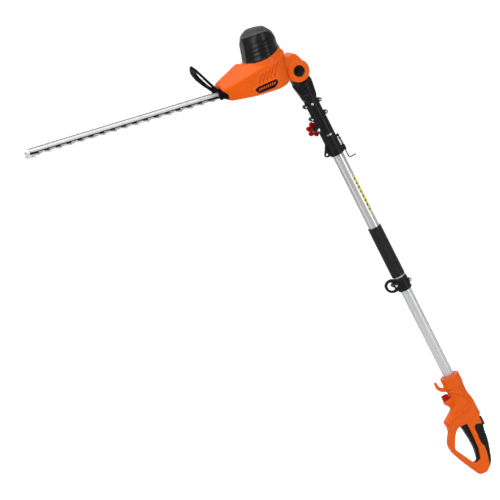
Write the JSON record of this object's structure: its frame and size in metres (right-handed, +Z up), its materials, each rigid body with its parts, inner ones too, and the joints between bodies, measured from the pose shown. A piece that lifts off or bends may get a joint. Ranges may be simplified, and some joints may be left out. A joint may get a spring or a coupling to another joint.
{
  "type": "pole hedge trimmer",
  "caption": "Electric pole hedge trimmer: tilting motor head with twin reciprocating blades, sectional tube, front grip and rear D-handle with trigger.",
  "frame": {"origin": "on the pole's axis, half way along the bare tube between the strap clamp and the rear handle", "axes": "+Z up the pole from the rear handle to the cutting head, -X to the side the blade reaches, Y along the head's tilt axis"},
  "size_m": [0.7429, 0.1016, 1.2931],
  "materials": {
    "orange_plastic": "satin moulded plastic",
    "black_plastic": "fine textured moulded plastic",
    "red_plastic": "moulded plastic",
    "grip_rubber": "soft grip",
    "lead_rubber": "cable sheath",
    "tube_aluminium": "satin anodised",
    "cast_alloy": "as cast",
    "bar_steel": "bright brushed",
    "blade_steel": "ground",
    "bright_steel": "zinc plated",
    "steel": "plain",
    "copper": "plain",
    "carbon": "pressed carbon",
    "yellow_label": null
  },
  "bodies": {
    "pole": {"pole_tube": "tube_aluminium", "front_grip": "grip_rubber", "strip_label": "yellow_label", "strap_clamp_near": "black_plastic", "strap_clamp_far": "black_plastic", "strap_clamp_screws": "bright_steel", "coupling_sleeve": "black_plastic", "clamp_bolt": "bright_steel", "tube_socket": "black_plastic", "pole_lead": "lead_rubber", "handle_shell_near": "orange_plastic", "handle_shell_far": "orange_plastic", "grip_overmould": "grip_rubber", "handle_screws": "bright_steel", "main_switch": "black_plastic", "power_inlet": "red_plastic", "inlet_pins": "copper", "handle_lead": "lead_rubber", "trigger_pin": "steel", "release_spring": "steel", "trigger_spring": "steel", "lock_off_spring": "steel"},
    "neck": {"neck_shell_near": "black_plastic", "neck_shell_far": "black_plastic", "neck_screws": "bright_steel", "neck_spigot": "tube_aluminium", "spigot_rivet": "bright_steel", "neck_plug": "black_plastic", "neck_lead": "lead_rubber"},
    "head": {"head_shell_near": "orange_plastic", "head_shell_far": "orange_plastic", "head_screws": "bright_steel", "motor_cap": "black_plastic", "name_badge": "black_plastic", "motor_field": "steel", "motor_screws": "bright_steel", "brush_holders": "black_plastic", "carbon_brushes": "carbon", "motor_bearings": "bright_steel", "gearbox_plate": "cast_alloy", "gear_axle": "steel", "blade_guide_bar": "bar_steel", "blade_bolts": "bright_steel", "tip_guard": "black_plastic", "hand_guard": "black_plastic", "pivot_pin": "steel", "tilt_lock_spring": "steel"},
    "tilt_button": {"tilt_lock_button": "black_plastic"},
    "motor": {"armature": "steel", "commutator": "copper", "cooling_fan": "black_plastic", "motor_pinion": "steel"},
    "gear": {"drive_gear": "steel"},
    "upper_knife": {"upper_blade": "blade_steel"},
    "lower_knife": {"lower_blade": "blade_steel"},
    "washer": {"clamp_washer": "bright_steel"},
    "knob": {"clamp_knob": "red_plastic"},
    "pin": {"release_pin": "steel"},
    "trigger": {"trigger": "black_plastic"},
    "lock_off": {"lock_off_button": "black_plastic"}
  },
  "joints": [
    {"name": "neck_slide", "type": "slide", "parent": "pole", "child": "neck", "axis": [0, 0, 1], "range_m": [0, 0.055]},
    {"name": "head_tilt", "type": "hinge", "parent": "neck", "child": "head", "pos_m": [0, 0, 0.744], "axis": [0, 1, 0], "range_deg": [-22, 77]},
    {"name": "tilt_button_press", "type": "slide", "parent": "head", "child": "tilt_button", "axis": [0, 1, 0], "range_m": [0, 0.003], "stiffness_N_per_m": 900, "springref_m": -0.002, "deforming": ["tilt_lock_spring"]},
    {"name": "gear_spin", "type": "hinge", "parent": "head", "child": "gear", "pos_m": [-0.10962, 0, 0.76931], "axis": [0.225, 0, 0.9744], "continuous": true},
    {"name": "motor_spin", "type": "hinge", "parent": "head", "child": "motor", "pos_m": [-0.07551, 0, 0.76143], "axis": [0.225, 0, 0.9744], "continuous": true},
    {"name": "upper_blade_stroke", "type": "slide", "parent": "head", "child": "upper_knife", "axis": [-0.9744, 0, 0.225], "range_m": [-0.008, 0.008]},
    {"name": "lower_blade_stroke", "type": "slide", "parent": "head", "child": "lower_knife", "axis": [-0.9744, 0, 0.225], "range_m": [-0.008, 0.008]},
    {"name": "clamp_knob_turn", "type": "hinge", "parent": "washer", "child": "knob", "pos_m": [-0.019, 0, 0.5865], "axis": [0, 1, 0], "range_deg": [0, 720]},
    {"name": "clamp_washer_slide", "type": "slide", "parent": "pole", "child": "washer", "axis": [0, 1, 0], "range_m": [0, 0.0026]},
    {"name": "release_pin_pull", "type": "slide", "parent": "pole", "child": "pin", "axis": [0, 0, -1], "range_m": [0, 0.009], "stiffness_N_per_m": 400, "springref_m": -0.006, "deforming": ["release_spring"]},
    {"name": "trigger_pull", "type": "hinge", "parent": "pole", "child": "trigger", "pos_m": [-0.0325, 0, -0.3605], "axis": [0, 1, 0], "range_deg": [0, 3.5], "stiffness_Nm_per_rad": 1.2, "springref_deg": -6.88, "deforming": ["trigger_spring"]},
    {"name": "lock_off_press", "type": "slide", "parent": "pole", "child": "lock_off", "axis": [-1, 0, 0], "range_m": [0, 0.003], "stiffness_N_per_m": 500, "springref_m": -0.003, "deforming": ["lock_off_spring"]}
  ],
  "couplings": [
    {"joint": "motor_spin", "follows": "gear_spin", "ratio": -6},
    {"joint": "lower_blade_stroke", "follows": "upper_blade_stroke", "ratio": -1},
    {"joint": "clamp_washer_slide", "follows": "clamp_knob_turn", "m_per_rad": 0.00019894}
  ]
}
